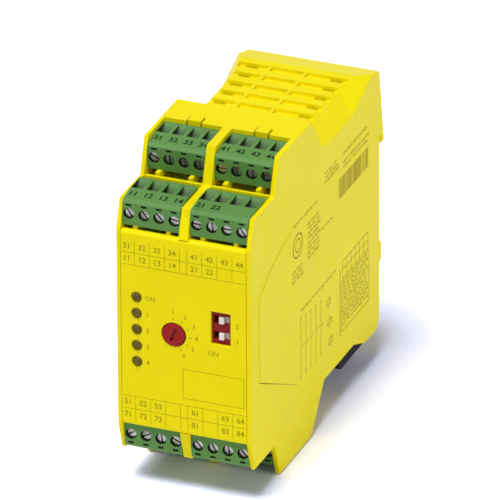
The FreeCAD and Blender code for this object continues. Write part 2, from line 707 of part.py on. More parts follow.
def clamp_cage(x):
    """Square metal clamp, open to the conductor above, with a notch for the screw."""
    low = SCREW_HEIGHT - CLAMP_TALL / 2
    half = CLAMP_WIDTH / 2
    outer = block(x - half, x + half, CLAMP_FRONT, CLAMP_FRONT + CLAMP_DEEP, low, low + CLAMP_TALL)
    inner = block(x - half + CLAMP_WALL, x + half - CLAMP_WALL, CLAMP_FRONT + CLAMP_WALL,
                  CLAMP_FRONT + CLAMP_DEEP - CLAMP_WALL, low - CLAMP_WALL,
                  low + CLAMP_TALL + CLAMP_WALL)
    notch_half = SHANK_RADIUS + SLIDE_CLEAR
    notch = block(x - notch_half, x + notch_half, CLAMP_FRONT - CLAMP_WALL,
                  CLAMP_FRONT + CLAMP_WALL, low - CLAMP_WALL, SCREW_HEIGHT + notch_half)
    return outer.cut(inner).cut(notch)


def header_body():
    """Open shroud round the plug's nose."""
    side = HEADER_CLEAR + HEADER_WALL
    outer = block(-NOSE_WIDTH / 2 - side, NOSE_WIDTH / 2 + side, SEAT, SEAT + HEADER_LENGTH,
                  0, HEADER_TALL)
    inner = block(-NOSE_WIDTH / 2 - HEADER_CLEAR, NOSE_WIDTH / 2 + HEADER_CLEAR, SEAT - WALL,
                  SEAT + NOSE_LENGTH, NOSE_BOTTOM - HEADER_CLEAR, NOSE_TOP + HEADER_CLEAR)
    holes = []
    for x in pole_offsets():
        holes.append(block(x - PIN / 2, x + PIN / 2, SEAT, SEAT + HEADER_LENGTH + WALL,
                           PIN_HEIGHT - PIN / 2, PIN_HEIGHT + PIN / 2))
    return cut(outer, [inner] + holes)


def header_pin(x, drop):
    """Square pin from the plug's socket through the header, bent down into the board."""
    end = SEAT + HEADER_LENGTH + PIN_REACH
    straight = block(x - PIN / 2, x + PIN / 2, PLUG_DEEP - WALL, end,
                     PIN_HEIGHT - PIN / 2, PIN_HEIGHT + PIN / 2)
    down = block(x - PIN / 2, x + PIN / 2, end - PIN, end, PIN_HEIGHT - drop, PIN_HEIGHT)
    return fuse([straight, down])


def place(shape, side, row, column):
    """Copy of a seat-based shape at one of the eight seats; lower ones are upside down."""
    copy = shape.copy()
    if side < 0:
        copy.rotate(vec(0, 0, 0), FreeCAD.Vector(0, 1, 0), 180)
    depth = tier_seats()[row][0]
    copy.translate(FreeCAD.Vector(column * BAY_CENTRE, depth, seat_level(row, side) * side))
    return copy


SEATS = {
    "upper_front_left": (1, 0, -1), "upper_front_right": (1, 0, 1),
    "upper_rear_left": (1, 1, -1), "upper_rear_right": (1, 1, 1),
    "lower_front_left": (-1, 0, -1), "lower_front_right": (-1, 0, 1),
    "lower_rear_left": (-1, 1, -1), "lower_rear_right": (-1, 1, 1),
}

SLOT_ANGLES = {
    "upper_front_left": (55, 52, 48, 8), "upper_front_right": (5, 82, 2, 58),
    "upper_rear_left": (25, 84, 80, 88), "upper_rear_right": (3, 86, 84, 4),
    "lower_front_left": (22, 80, -28, -32), "lower_front_right": (50, 78, 62, 48),
    "lower_rear_left": (0, 40, 90, 15), "lower_rear_right": (70, 10, 35, 88),
}


def build_terminals():
    """Plugs, screws, clamps and headers for all eight seats, and one group of pins."""
    body = plug_body()
    cages = Part.makeCompound([clamp_cage(x) for x in pole_offsets()])
    header = header_body()
    pins = []
    for name, (side, row, column) in SEATS.items():
        angles = SLOT_ANGLES[name]
        screws = [terminal_screw(x, a) for x, a in zip(pole_offsets(), angles)]
        save(name + "_plug", place(body, side, row, column))
        save(name + "_screws", place(Part.makeCompound(screws), side, row, column))
        save(name + "_clamps", place(cages, side, row, column))
        save(name + "_header", place(header, side, row, column))
        drop = seat_level(row, side) + PIN_HEIGHT - TERMINAL_BOARD_HEIGHT
        for x in pole_offsets():
            pins.append(place(header_pin(x, drop), side, row, column))
    save("header_pins", Part.makeCompound(pins))


# Front panel and controls ---------------------------------------------------------------------

def led_heights():
    return [LED_FIRST - i * LED_PITCH for i in range(LED_COUNT)]


def front_panel():
    """Cover plate with rounded top and bottom edges and openings for the controls."""
    half = INNER - PANEL_GAP
    plate = block(-half, half, 0, PANEL_THICK, -PANEL_HALF, PANEL_HALF)
    edges = []
    for edge in plate.Edges:
        start, end = [vertex.Point for vertex in edge.Vertexes]
        in_front = max(start.y, end.y) < 0.01 - PANEL_TO_RAIL
        if in_front and abs(start.z - end.z) < 0.01:
            edges.append(edge)
    plate = plate.makeFillet(PANEL_LIP, edges)
    tools = [rod(LED_X, h, LED_RADIUS + LED_CLEAR, -WALL, PANEL_THICK + WALL)
             for h in led_heights()]
    tools.append(rod(KNOB_X, KNOB_Z, KNOB_RADIUS + KNOB_HOLE_CLEAR, -WALL, PANEL_THICK + WALL))
    half_wide = DIP_WIDTH / 2 + DIP_CLEAR
    half_tall = DIP_TALL / 2 + DIP_CLEAR
    tools.append(block(DIP_X - half_wide, DIP_X + half_wide, -WALL, PANEL_THICK + WALL,
                       DIP_Z - half_tall, DIP_Z + half_tall))
    return cut(plate, tools)


def light_guide(height):
    """Light guide from the front board to the panel, with a bevelled end."""
    body = rod(LED_X, height, LED_RADIUS, 0, FRONT_BOARD_DEPTH)
    tip = Part.makeCone(LED_RADIUS - LED_PROUD, LED_RADIUS, LED_PROUD,
                        vec(LED_X, -LED_PROUD, height), FreeCAD.Vector(0, 1, 0))
    return fuse([body, tip])


def time_knob():
    """Slotted setting knob with its shaft in the switch body."""
    disc = rod(KNOB_X, KNOB_Z, KNOB_RADIUS, -KNOB_PROUD, KNOB_THICK - KNOB_PROUD)
    shaft = rod(KNOB_X, KNOB_Z, KNOB_SHAFT, 0, FRONT_BOARD_DEPTH)
    long, wide, deep = KNOB_SLOT
    slot = block(KNOB_X - long / 2, KNOB_X + long / 2, -KNOB_THICK, deep - KNOB_PROUD,
                 KNOB_Z - wide / 2, KNOB_Z + wide / 2)
    return fuse([disc, shaft]).cut(turned(slot, vec(KNOB_X, 0, KNOB_Z), KNOB_SLOT_ANGLE))


def knob_switch():
    """Body of the rotary setting switch, soldered to the front board."""
    half = KNOB_RADIUS + WALL
    body = block(KNOB_X - half, KNOB_X + half, KNOB_THICK, FRONT_BOARD_DEPTH,
                 KNOB_Z - half, KNOB_Z + half)
    return body.cut(rod(KNOB_X, KNOB_Z, KNOB_SHAFT + SLIDE_CLEAR, 0, FRONT_BOARD_DEPTH + WALL))


def slider_heights():
    return [DIP_Z + (i - (DIP_POLES - 1) / 2) * DIP_PITCH for i in range(DIP_POLES)]


def dip_body():
    """Switch block behind the window, with a guide slot for each slider."""
    body = block(DIP_X - DIP_WIDTH / 2, DIP_X + DIP_WIDTH / 2, DIP_SINK, FRONT_BOARD_DEPTH,
                 DIP_Z - DIP_TALL / 2, DIP_Z + DIP_TALL / 2)
    reach = (SLIDER_WIDTH + SLIDER_TRAVEL) / 2 + SLIDE_CLEAR
    half = SLIDER_TALL / 2 + SLIDE_CLEAR
    tools = []
    for h in slider_heights():
        tools.append(block(DIP_X - reach, DIP_X + reach, -DIP_SINK, SLIDER_END, h - half, h + half))
    return cut(body, tools)


def dip_slider(height):
    """Slider at the right end of its travel, with its nub near the left end of its plate."""
    left = DIP_X + (SLIDER_TRAVEL - SLIDER_WIDTH) / 2
    low = height - SLIDER_TALL / 2
    high = height + SLIDER_TALL / 2
    plate = block(left, left + SLIDER_WIDTH, SLIDER_SINK, SLIDER_END, low, high)
    nub_left = left + NUB_OFFSET
    nub = block(nub_left, nub_left + NUB_WIDTH, NUB_SINK, SLIDER_END,
                height - NUB_TALL / 2, height + NUB_TALL / 2)
    return fuse([plate, nub])


def build_front():
    save("front_panel", front_panel())
    save("light_guides", Part.makeCompound([light_guide(h) for h in led_heights()]))
    save("time_knob", time_knob())
    save("knob_switch", knob_switch())
    save("dip_switch", dip_body())
    for name, height in zip(("dip_slider_lower", "dip_slider_upper"), slider_heights()):
        save(name, dip_slider(height))


# Boards ---------------------------------------------------------------------------------------

def front_board():
    half = INNER - BOARD_CLEAR
    tall = CAVITY_HALF - BOARD_CLEAR
    return block(-half, half, FRONT_BOARD_DEPTH, FRONT_BOARD_DEPTH + BOARD, -tall, tall)


def terminal_board(side):
    """Horizontal board that the header pins of one side are soldered through."""
    half = INNER - BOARD_CLEAR
    level = TERMINAL_BOARD_HEIGHT * side
    board = block(-half, half, FRONT_BOARD_DEPTH + BOARD, TERMINAL_BOARD_END,
                  level, level - BOARD * side)
    return board


def main_board(side):
    """Upright board beside a side wall, between the terminal boards."""
    outer = (INNER - MAIN_BOARD_OFFSET) * side
    reach = TERMINAL_BOARD_HEIGHT - BOARD
    return block(outer, outer - BOARD * side, FRONT_BOARD_DEPTH + BOARD, MAIN_BOARD_END,
                 -reach, reach)


def board_face(side):
    """Inner face of a main board."""
    return (INNER - MAIN_BOARD_OFFSET - BOARD) * side


def build_inside():
    save("front_board", front_board())
    save("upper_terminal_board", terminal_board(1))
    save("lower_terminal_board", terminal_board(-1))
    save("left_main_board", main_board(-1))
    save("right_main_board", main_board(1))
    wide, long, tall = RELAY
    for name, side in (("upper_safety_relay", 1), ("lower_safety_relay", -1)):
        inner = board_face(-1)
        h0 = side * RELAY_GAP / 2
        h1 = h0 + side * tall
        save(name, block(inner, inner + wide, RELAY_FRONT, RELAY_FRONT + long, h0, h1))
    face = board_face(1)
    capacitors = []
    for side in (-1, 1):
        height = side * (CAPACITOR_RADIUS + RELAY_GAP / 2)
        centre = vec(face, RELAY_FRONT + CAPACITOR_RADIUS, height)
        capacitors.append(Part.makeCylinder(CAPACITOR_RADIUS, CAPACITOR_LENGTH, centre,
                                            FreeCAD.Vector(-1, 0, 0)))
    save("capacitors", Part.makeCompound(capacitors))
    thick, chip_long, chip_tall = CHIP
    chips = []
    for i in range(2):
        d0 = MAIN_BOARD_END - (i + 1) * CHIP_SPACING
        chips.append(block(face, face - thick, d0, d0 + chip_long, -chip_tall / 2, chip_tall / 2))
    save("processors", Part.makeCompound(chips))


save("housing_shell", housing_shell())
save("rail_base", rail_base())
save("foot_latch", foot_latch())
save("latch_spring", latch_spring())
build_front()
build_inside()
build_terminals()
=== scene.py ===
"""Looks of a DIN-rail safety relay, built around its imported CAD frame.

Lengths are in millimetres up to the point where a mesh is made.  Places on a surface are (u, v).
On the panel, u runs right from its middle; on a side wall it runs from the panel's front towards
the rail.  On both, v runs up from the middle of the panel.
"""

import json
import math
import random

import bmesh
import bpy
from mathutils import Matrix, Vector


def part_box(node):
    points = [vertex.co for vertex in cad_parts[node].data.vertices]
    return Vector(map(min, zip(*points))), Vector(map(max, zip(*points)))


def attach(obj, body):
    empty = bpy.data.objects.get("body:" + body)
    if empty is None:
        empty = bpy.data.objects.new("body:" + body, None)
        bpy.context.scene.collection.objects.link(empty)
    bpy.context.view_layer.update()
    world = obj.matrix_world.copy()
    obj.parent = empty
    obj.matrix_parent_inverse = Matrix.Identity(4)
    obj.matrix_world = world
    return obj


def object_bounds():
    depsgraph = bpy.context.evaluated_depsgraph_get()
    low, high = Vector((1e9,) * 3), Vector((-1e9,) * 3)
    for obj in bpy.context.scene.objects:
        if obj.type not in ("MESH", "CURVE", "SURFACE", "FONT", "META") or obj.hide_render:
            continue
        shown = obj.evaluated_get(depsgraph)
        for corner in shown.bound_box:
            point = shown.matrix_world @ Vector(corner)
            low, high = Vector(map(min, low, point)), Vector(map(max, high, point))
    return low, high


MM = 0.001

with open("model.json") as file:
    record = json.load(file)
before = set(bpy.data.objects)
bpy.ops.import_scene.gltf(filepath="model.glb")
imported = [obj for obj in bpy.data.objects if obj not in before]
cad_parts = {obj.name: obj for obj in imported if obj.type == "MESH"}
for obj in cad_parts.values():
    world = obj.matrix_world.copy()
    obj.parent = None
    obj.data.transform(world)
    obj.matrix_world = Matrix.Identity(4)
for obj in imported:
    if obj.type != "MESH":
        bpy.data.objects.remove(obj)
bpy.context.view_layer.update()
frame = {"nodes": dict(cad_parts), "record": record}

# Terminal plugs
SIDES = ("upper", "lower")
ROWS = ("front", "rear")
COLUMNS = ("left", "right")
SEATS = ["_".join((side, row, column)) for side in SIDES for row in ROWS for column in COLUMNS]
POLES = (1, 2, 3, 4)
POLE_PITCH = 5.0
USED_POLES = {"upper_front_right": (1, 2),         # the other plugs use all their poles
              "lower_front_left": (1, 2, 3), "lower_rear_left": (1, 2, 3),
              "lower_front_right": (1, 3, 4), "lower_rear_right": (1, 3, 4)}
STRIP_FRONT, STRIP_BACK = 1.0, 6.6     # sloping label strip, from the plug's face
STRIP_DROP = 0.8                       # its front edge is this much nearer the plug's middle

# Pad on each side wall
RELIEF = 0.3               # step round the pad, fading out to RELIEF_END
RELIEF_END = 40.0
PAD_LOW_EDGE = ((7.2, -14.8), (39.0, -31.0))   # front and back end, (u, v)
PAD_LINE_FRONT, PAD_LINE_BACK = 0.45, 0.1      # the painted shadow line under the pad tapers towards the rail

# Printed marks
PRINT_PROUD = 0.02         # they stand this far above their surface
PRINT_SUNK = 0.02          # and reach this far into it
CAPITAL_SHARE = 0.73       # height of a capital in the font's size
RING_SIDES = 32
SMALL_RING_SIDES = 12
TABLE_LINE = 0.16
SKETCH_LINE = 0.22
POLE_TABLES = {"upper": (30.6, 22.2), "lower": (-32.2, -23.4)}     # outer and inner edge, v
TABLE_MARGIN = 0.4         # from the ends of the pole tables to the panel's edges
LABEL_LOW, LABEL_HIGH = -20.9, -10.8
LABEL_LEFT, LABEL_MARGIN = -0.3, 0.4
PANEL_NUMBER, PLUG_NUMBER, SWITCH_NUMBER, FIGURE = 1.9, 2.3, 1.7, 1.6     # heights of capitals
LIGHT_WORDS = ("ON", "1", "2", "3", "4")

# Dial round the time knob
DIAL_FIGURES = 6
DIAL_START, DIAL_STEP = 91, 31         # degrees: the first figure's direction, then clockwise
TICK_FROM, TICK_TO, TICK_WIDTH = 4.9, 6.0, 0.25
FIGURE_RADIUS = 7.6

# Small print: strokes in groups
WORD_SHORTEST, WORD_LONGEST, WORD_GAP = 1.6, 4.6, 0.45
ROW_END = 1.0              # no word starts nearer to its row's right end
LETTER_PITCH, LETTER_WIDTH = 0.55, 0.42
STROKE, CROSSBAR = 0.18, 0.16
STROKE_FEET = (-0.5, -0.5, -0.5, 0.05)
STROKE_TOPS = (0.5, 0.5, 0.2)

# Small print on the right wall: left, right, first row's v, rows, row pitch, seed
TYPE_PRINT = ((62.5, 74.0, 31.6, 3, 1.5, 3),
              (78.3, 99.0, 31.4, 1, 1.5, 4),
              (78.3, 100.5, 28.4, 2, 1.7, 5))
RATING_PRINT = ((36.0, 57.0, 25.4, 1, 1.5, 6),
                (47.5, 58.5, 21.0, 8, 1.7, 7),
                (60.0, 70.0, 13.6, 1, 1.7, 8),
                (34.5, 44.0, 9.6, 3, 1.6, 9))
SKETCH_PRINT = (42.0, 73.0, -6.4, 1, 1.5, 12)
TABLE_PRINT = (77.5, 99.8, -13.9, 11, 1.45, 13)
BARS_FIELD = (74.5, 99.5, 17.0, 24.0)          # left, right, foot, head
RING_MARK = (39.2, 17.6)

# Camera, floor and light
CAMERA_AZIMUTH, CAMERA_ELEVATION, CAMERA_ROLL = 21.80, 26.95, -0.29     # degrees
CAMERA_DISTANCE = 3203
CAMERA_TARGET = (0, -60.5, -4.7)
LENS, SENSOR = 737.9, 36
CAMERA_SHIFT = (0.013, 0.0392)
FLOOR_SIZE = 12000
FLOOR_GAP = 0.02
FLOOR_COLOUR = (0.86, 0.86, 0.86, 1)
FLOOR_SEEN_COLOUR = (1.36, 1.40, 1.80, 1)      # where it is seen directly
WORLD_LEVEL = 0.14
SUNS = {"key": (1.95, -6, 70, 26),     # strength, azimuth, elevation, softness; angles in degrees
        "left": (0.85, -38, 64, 30),
        "fill": (1.27, 80, 6, 40)}


# Node trees ------------------------------------------------------------------------------------

class Tree:
    """A material's nodes, with short calls for the few kinds used here."""

    def __init__(self, name):
        self.material = bpy.data.materials.new(name)
        self.material.use_nodes = True
        self.nodes = self.material.node_tree.nodes
        self.links = self.material.node_tree.links
        self.shader = self.nodes["Principled BSDF"]

    def join(self, source, target):
        self.links.new(source, target)

    def feed(self, name, source):
        """Joins an output to one of the shader's inputs."""
        self.join(source, self.shader.inputs[name])

    def set(self, name, value):
        """Sets a value that is the same all over on the shader itself."""
        self.shader.inputs[name].default_value = value

    def place(self):
        """Coordinates that stay with the piece."""
        return self.nodes.new("ShaderNodeTexCoord").outputs["Object"]

    def noise(self, scale, detail=3.0, roughness=0.5):
        """Even noise; scale is in waves to a metre."""
        node = self.nodes.new("ShaderNodeTexNoise")
        node.inputs["Scale"].default_value = scale
        node.inputs["Detail"].default_value = detail
        node.inputs["Roughness"].default_value = roughness
        self.join(self.place(), node.inputs["Vector"])
        return node.outputs["Fac"]

    def stretched(self, scales, detail=2.0):
        """Noise drawn out along an axis."""
        mapping = self.nodes.new("ShaderNodeMapping")
        mapping.inputs["Scale"].default_value = scales
        self.join(self.place(), mapping.inputs["Vector"])
        node = self.nodes.new("ShaderNodeTexNoise")
        node.inputs["Scale"].default_value = 1.0
        node.inputs["Detail"].default_value = detail
        self.join(mapping.outputs["Vector"], node.inputs["Vector"])
        return node.outputs["Fac"]

    def spread(self, value, low=0.0, high=1.0, start=0.3, end=0.7):
        """Value from start..end mapped to low..high."""
        node = self.nodes.new("ShaderNodeMapRange")
        for name, number in (("From Min", start), ("From Max", end),
                             ("To Min", low), ("To Max", high)):
            node.inputs[name].default_value = number
        self.join(value, node.inputs["Value"])
        return node.outputs["Result"]

    def scaled(self, value, factor):
        node = self.nodes.new("ShaderNodeMath")
        node.operation = "MULTIPLY"
        self.join(value, node.inputs[0])
        node.inputs[1].default_value = factor
        return node.outputs["Value"]

    def mix(self, factor, first, second):
        """Colour between two colours or colour outputs."""
        node = self.nodes.new("ShaderNodeMix")
        node.data_type = "RGBA"
        self.join(factor, node.inputs["Factor"])
        for name, colour in (("A", first), ("B", second)):
            socket = [s for s in node.inputs if s.name == name and s.type == "RGBA"][0]
            if isinstance(colour, tuple):
                socket.default_value = colour
            else:
                self.join(colour, socket)
        return [s for s in node.outputs if s.type == "RGBA"][0]

    def rounded(self, radius):
        """Normal with the edges rounded off."""
        node = self.nodes.new("ShaderNodeBevel")
        node.samples = 6
        node.inputs["Radius"].default_value = radius * MM
        return node.outputs["Normal"]

    def edges(self, normal):
        """About 1 where the rounded normal departs from the face's own, 0 on plain faces."""
        geometry = self.nodes.new("ShaderNodeNewGeometry")
        dot = self.nodes.new("ShaderNodeVectorMath")
        dot.operation = "DOT_PRODUCT"
        self.join(normal, dot.inputs[0])
        self.join(geometry.outputs["Normal"], dot.inputs[1])
        return self.spread(dot.outputs["Value"], 1.0, 0.0, start=0.80, end=0.995)

    def recess(self, reach):
        """About 1 deep inside the piece's own recesses, 0 on open faces; the mask for painted
        shade.
        """
        node = self.nodes.new("ShaderNodeAmbientOcclusion")
        node.only_local = True
        node.samples = 8
        node.inputs["Distance"].default_value = reach * MM
        return self.spread(node.outputs["AO"], 1.0, 0.0, start=0.34, end=0.86)

    def bump(self, height, strength, distance, normal=None):
        node = self.nodes.new("ShaderNodeBump")
        node.inputs["Strength"].default_value = strength
        node.inputs["Distance"].default_value = distance * MM
        self.join(height, node.inputs["Height"])
        if normal is not None:
            self.join(normal, node.inputs["Normal"])
        return node.outputs["Normal"]


# Materials -------------------------------------------------------------------------------------

def rgb(red, green, blue):
    """Linear colour from sRGB values of 0 to 255."""
    linear = []
    for value in (red, green, blue):
        share = value / 255
        linear.append(share / 12.92 if share <= 0.04045 else ((share + 0.055) / 1.055) ** 2.4)
    return (*linear, 1.0)


def plastic(name, colour, highlight_colour, shade, roughness=0.45, grain=0.12, edge=0.25, specular=0.25,
            recess_shade_colour=None):
    """Moulded plastic: cloudy colour, fine spark-eroded grain, soft edges with a painted highlight.
    """
    recess_reach = 6
    edge_highlight_share = 0.6
    grain_size, grain_depth = 0.35, 0.04
    t = Tree(name)
    normal = t.rounded(edge)
    base = t.mix(t.spread(t.noise(45, detail=2.0)), colour, shade)
    # Painted shade: the colour darkens deep inside the piece's own recesses.
    if recess_shade_colour:
        base = t.mix(t.recess(recess_reach), base, recess_shade_colour)
    # Painted highlight: the edges are lightened towards the plastic's second colour.
    t.feed("Base Color", t.mix(t.scaled(t.edges(normal), edge_highlight_share), base, highlight_colour))
    t.feed("Roughness", t.spread(t.noise(160), roughness - 0.05, roughness + 0.06))
    fine = t.noise(1 / (grain_size * MM), detail=2.0, roughness=0.6)
    t.feed("Normal", t.bump(fine, grain, grain_depth, normal))
    t.set("Specular IOR Level", specular)
    return t.material


def metal(name, colour, dull, roughness):
    """Plated steel with fine scratches and duller patches."""
    t = Tree(name)
    normal = t.rounded(0.08)
    t.feed("Base Color", t.mix(t.spread(t.noise(420)), colour, dull))
    scratch = t.stretched((4000, 400, 400))
    t.feed("Roughness", t.spread(scratch, roughness - 0.08, roughness + 0.1))
    t.feed("Normal", t.bump(scratch, 0.15, 0.02, normal))
    t.set("Metallic", 1.0)
    return t.material


def board_resist(name):
    """Green solder resist with the faint pattern of tracks under it."""
    t = Tree(name)
    tracks = t.spread(t.stretched((250, 900, 250), detail=0.0), start=0.48, end=0.52)
    t.feed("Base Color", t.mix(tracks, rgb(14, 74, 40), rgb(24, 96, 54)))
    t.set("Roughness", 0.35)
    t.feed("Normal", t.bump(tracks, 0.2, 0.05))
    return t.material


def smoky_lens(name):
    """Dark smoky end of a light guide, slightly cloudy."""
    t = Tree(name)
    cloud = t.spread(t.noise(900, detail=2.0))
    t.feed("Base Color", t.mix(cloud, rgb(84, 70, 16), rgb(118, 100, 24)))
    t.feed("Normal", t.rounded(0.3))
    t.set("Roughness", 0.25)
    t.set("Specular IOR Level", 0.12)
    return t.material


def ink(name, colour, fade):
    """Printed or lasered mark, slightly uneven; the side walls' ink also paints the shadow line
    under each pad.
    """
    t = Tree(name)
    cloud = t.spread(t.noise(1500, roughness=0.7))
    t.feed("Base Color", t.mix(cloud, colour, fade))
    t.set("Roughness", 0.6)
    t.set("Specular IOR Level", 0.08)
    return t.material


def make_materials():
    """One material to each of the record's slots, and the inks."""
    # Each plastic's second colour is the painted highlight along its edges.
    return {
        "housing": plastic("housing_yellow", rgb(246, 230, 2), rgb(255, 244, 60),
                           rgb(243, 226, 0), roughness=0.5, specular=0.12),
        "panel": plastic("panel_yellow", rgb(246, 230, 2), rgb(255, 242, 50),
                         rgb(243, 226, 0), roughness=0.5, grain=0.06, edge=0.15, specular=0.12),
        # The plugs get painted shade in their funnels and other recesses.
        "terminal": plastic("terminal_green", rgb(92, 141, 70), rgb(154, 192, 132),
                            rgb(84, 133, 62), edge=0.2, specular=0.2, recess_shade_colour=rgb(20, 38, 12)),
        "screw": metal("screw_zinc", rgb(172, 169, 156), rgb(120, 116, 104), 0.3),
        "clamp": metal("clamp_zinc", rgb(190, 190, 184), rgb(150, 150, 142), 0.4),
        "pin": metal("pin_tin", rgb(205, 200, 186), rgb(180, 176, 160), 0.35),
        "spring": metal("spring_steel", rgb(170, 172, 174), rgb(130, 132, 134), 0.25),
        "latch": plastic("latch_black", rgb(13, 13, 14), rgb(40, 40, 42), rgb(9, 9, 10),
                         roughness=0.6, specular=0.08),
        "lens": smoky_lens("lens_smoke"),
        "knob": plastic("knob_red", rgb(160, 28, 30), rgb(190, 60, 50), rgb(150, 22, 26),
                        roughness=0.4, grain=0.05, specular=0.15),
        "dip": plastic("dip_red", rgb(140, 24, 18), rgb(165, 44, 36), rgb(126, 18, 14),
                       roughness=0.4, grain=0.04, edge=0.15, specular=0.15),
        "slider": plastic("slider_white", rgb(235, 226, 222), rgb(250, 246, 244),
                          rgb(226, 214, 210), grain=0.05, edge=0.15),
        "switch_body": plastic("switch_grey", rgb(60, 60, 62), rgb(95, 95, 97), rgb(52, 52, 54)),
        "circuit": board_resist("circuit_green"),
        "relay_case": plastic("relay_white", rgb(228, 228, 222), rgb(245, 245, 240),
                              rgb(220, 220, 214)),
        "capacitor": plastic("capacitor_sleeve", rgb(44, 50, 74), rgb(90, 94, 110),
                             rgb(38, 44, 66), roughness=0.3, grain=0.03),
        "chip": plastic("chip_black", rgb(34, 34, 35), rgb(60, 60, 61), rgb(28, 28, 29)),
        "panel_ink": ink("panel_ink", rgb(164, 150, 14), rgb(182, 168, 18)),
        # Side walls' ink, for their print and for the painted shadow line under each pad.
        "side_ink_and_shade": ink("side_ink_and_shade", rgb(126, 110, 8), rgb(150, 134, 14)),
        "plug_ink": ink("plug_ink", rgb(16, 30, 12), rgb(26, 44, 20)),
    }


def dress_nodes(materials):
    """Puts a finish on every CAD node, by the record's slots."""
    for part in frame["record"]["subparts"]:
        mesh_object = frame["nodes"][part["node"]]
        mesh_object.data.materials.clear()
        mesh_object.data.materials.append(materials[part["material_slot"]])


# Printed marks ---------------------------------------------------------------------------------

class Print:
    """Flat marks on one plane, gathered into a single thin mesh."""

    def __init__(self, origin, across, up):
        """origin in mm in the part's frame; across and up are unit directions."""
        self.origin = Vector(origin)
        self.across = Vector(across)
        self.up = Vector(up)
        self.out = self.across.cross(self.up)
        self.bm = bmesh.new()

    def matrix(self, u, v):
        """From marks drawn in mm round (u, v) to metres in the part's frame."""
        axes = Matrix((self.across, self.up, self.out)).transposed().to_4x4()
        axes.translation = self.origin + self.across * u + self.up * v
        return Matrix.Scale(MM, 4) @ axes

    def shape(self, points):
        """Filled outline of (u, v) points, anticlockwise."""
        place = self.matrix(0, 0)
        low = [self.bm.verts.new(place @ Vector((u, v, -PRINT_SUNK))) for u, v in points]
        high = [self.bm.verts.new(place @ Vector((u, v, PRINT_PROUD))) for u, v in points]
        self.bm.faces.new(high)
        self.bm.faces.new(low[::-1])
        for i in range(len(points)):
            j = (i + 1) % len(points)
            self.bm.faces.new((low[i], low[j], high[j], high[i]))

    def bar(self, u0, v0, u1, v1):
        self.shape([(u0, v0), (u1, v0), (u1, v1), (u0, v1)])

    def line(self, u0, v0, u1, v1, width):
        along = Vector((u1 - u0, v1 - v0)).normalized() * width / 2
        du, dv = -along.y, along.x
        self.shape([(u0 - du, v0 - dv), (u1 - du, v1 - dv), (u1 + du, v1 + dv), (u0 + du, v0 + dv)])

    def outline(self, u0, v0, u1, v1, width):
        """Outlined rectangle."""
        half = width / 2
        self.bar(u0 - half, v0 - half, u1 + half, v0 + half)
        self.bar(u0 - half, v1 - half, u1 + half, v1 + half)
        self.bar(u0 - half, v0 + half, u0 + half, v1 - half)
        self.bar(u1 - half, v0 + half, u1 + half, v1 - half)

    def ring(self, u, v, radius, width, sides=RING_SIDES):
        inner = radius - width
        for i in range(sides):
            a, b = (2 * math.pi * k / sides for k in (i, i + 1))
            self.shape([(u + inner * math.cos(a), v + inner * math.sin(a)),
                        (u + radius * math.cos(a), v + radius * math.sin(a)),
                        (u + radius * math.cos(b), v + radius * math.sin(b)),
                        (u + inner * math.cos(b), v + inner * math.sin(b))])

    def text(self, words, u, v, height, bold=0.02):
        """Plain letters centred on (u, v); height is that of a capital."""
        curve = bpy.data.curves.new("letters", "FONT")
        curve.body = words
        curve.size = height / CAPITAL_SHARE
        curve.align_x = "CENTER"
        curve.align_y = "CENTER"
        curve.resolution_u = 2
        curve.offset = bold
        curve.extrude = (PRINT_PROUD + PRINT_SUNK) / 2
        letters = bpy.data.objects.new("letters", curve)
        mesh = bpy.data.meshes.new_from_object(letters)
        mesh.transform(self.matrix(u, v))
        self.bm.from_mesh(mesh)
        bpy.data.objects.remove(letters)
        bpy.data.meshes.remove(mesh)
        bpy.data.curves.remove(curve)

    def finish(self, name, body, material):
        """Makes the marks one piece that rides on a body."""
        mesh = bpy.data.meshes.new(name)
        bmesh.ops.recalc_face_normals(self.bm, faces=self.bm.faces)
        self.bm.to_mesh(mesh)
        self.bm.free()
        mesh.materials.append(material)
        piece = bpy.data.objects.new(name, mesh)
        bpy.context.scene.collection.objects.link(piece)
        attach(piece, body)


def box(node):
    """Lowest and highest corner of a node's box in mm."""
    low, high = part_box(node)
    return low / MM, high / MM


def middle(node):
    """Centre of a node's box in mm."""
    low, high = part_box(node)
    return (low + high) / 2 / MM


def pole_numbers(seat):
    """Plain numbers of a plug's used poles: tens count the plugs, units count the poles."""
    tens = 10 * (1 + SEATS.index(seat))
    used = USED_POLES.get(seat, POLES)
    return [str(tens + pole) if pole in used else "" for pole in POLES]


# Front panel

def pole_table(sheet, side, half_width):
    """Numbers of one side's poles: the rear plugs' row outside, the front plugs' row inside."""
    outer, inner = POLE_TABLES[side]
    between = (outer + inner) / 2
    half_line = TABLE_LINE / 2
    for v in (between, inner):
        sheet.bar(-half_width, v - half_line, half_width, v + half_line)
    for column in COLUMNS:
        plug = middle(f"{side}_front_{column}_plug")
        edges = [plug.x + k * POLE_PITCH for k in (-2, -1, 0, 1, 2)]
        inside = edges[1:] if column == "left" else edges[:-1]
        for u in inside:
            sheet.bar(u - half_line, min(outer, inner), u + half_line, max(outer, inner))
        for row, v in (("rear", (outer + between) / 2), ("front", (between + inner) / 2)):
            for u, number in zip(edges, pole_numbers(f"{side}_{row}_{column}")):
                if number:
                    sheet.text(number, u + POLE_PITCH / 2, v, PANEL_NUMBER, bold=0.05)


def dial(sheet, mid):
    """Ticks and figures round the time knob."""
    knob = middle("time_knob")
    centre = knob.z - mid
    for figure in range(DIAL_FIGURES):
        angle = math.radians(DIAL_START - figure * DIAL_STEP)
        du, dv = math.cos(angle), math.sin(angle)
        sheet.line(knob.x + TICK_FROM * du, centre + TICK_FROM * dv,
                   knob.x + TICK_TO * du, centre + TICK_TO * dv, TICK_WIDTH)
        u, v = knob.x + FIGURE_RADIUS * du, centre + FIGURE_RADIUS * dv
        sheet.text(str(figure + 1), u, v, FIGURE)


